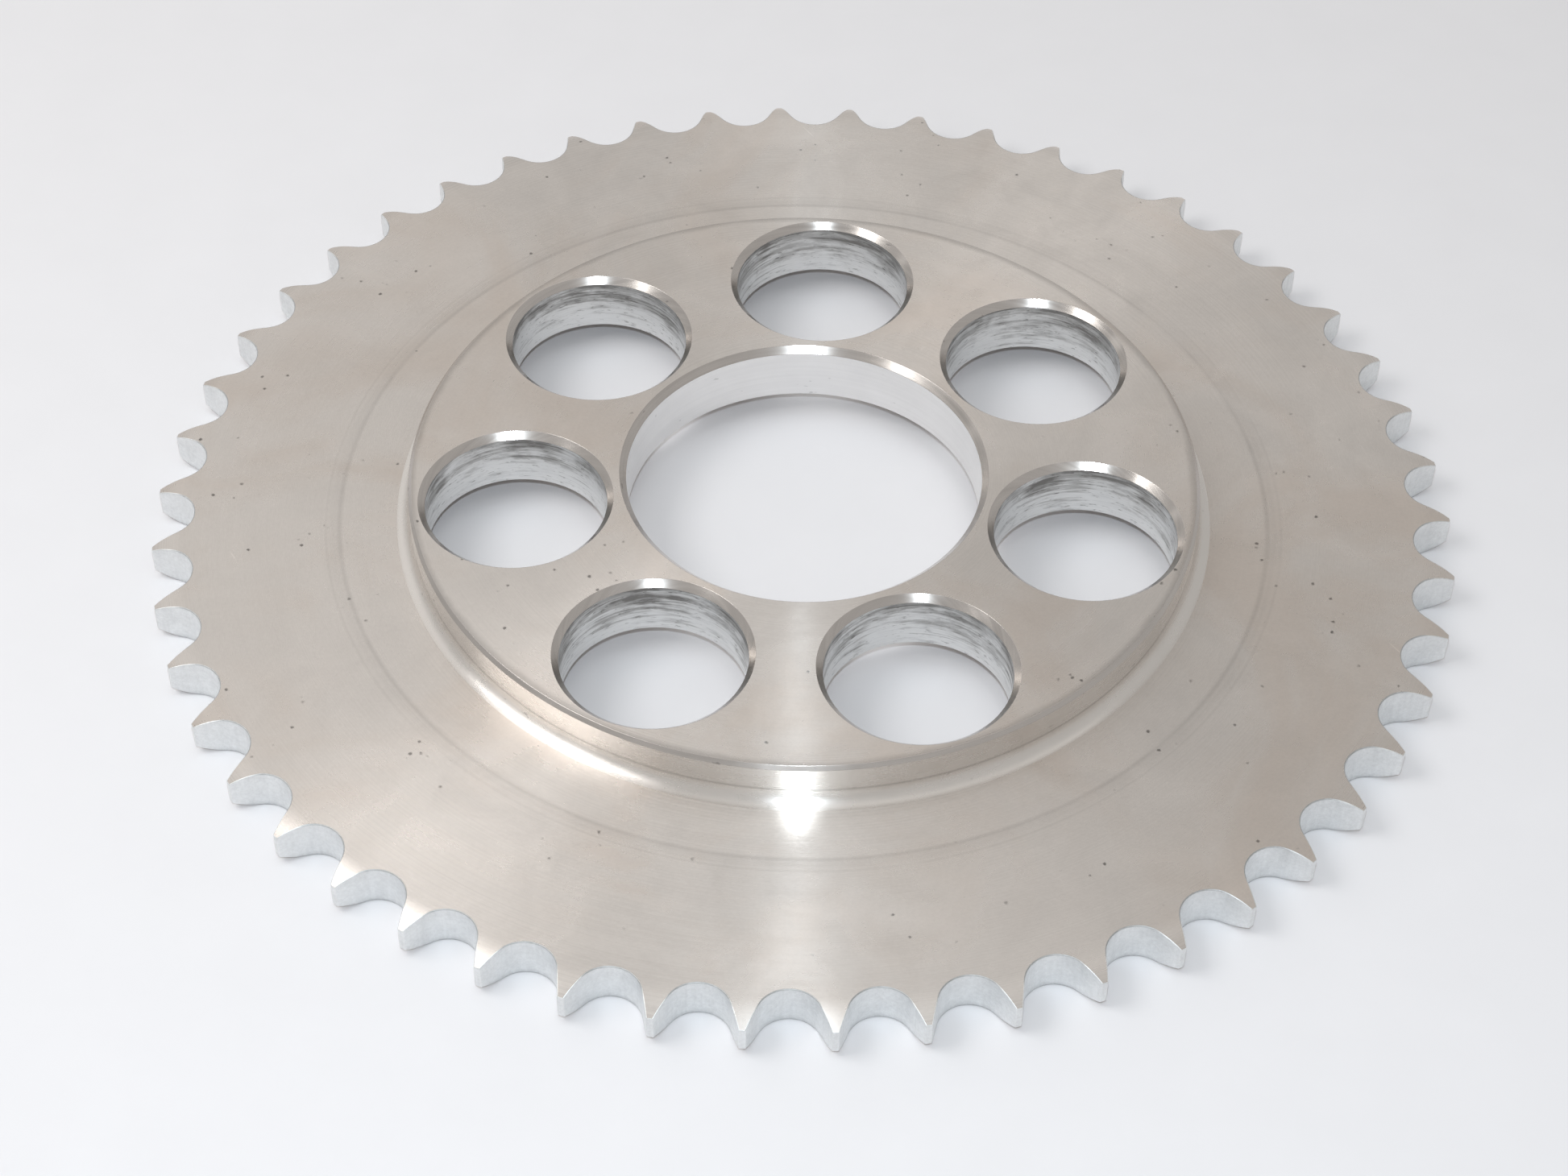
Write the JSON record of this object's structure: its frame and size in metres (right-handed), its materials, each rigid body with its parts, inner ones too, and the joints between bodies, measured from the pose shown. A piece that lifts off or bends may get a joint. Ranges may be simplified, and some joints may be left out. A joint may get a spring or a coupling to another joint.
{
  "type": "rear sprocket",
  "caption": "One-piece dished chain sprocket: toothed rim, raised thick hub with a wide central bore and a ring of large round drive holes.",
  "frame": {"origin": "centre of the bore, in the plane of the toothed rim's underside", "axes": "+Z along the bore towards the raised hub face; +Y through the centre of one large hole"},
  "size_m": [0.2586, 0.2588, 0.0174],
  "materials": {
    "machined_aluminium": "bare, fine turned, lightly stained"
  },
  "bodies": {
    "root": {"sprocket": "machined_aluminium"}
  },
  "joints": []
}
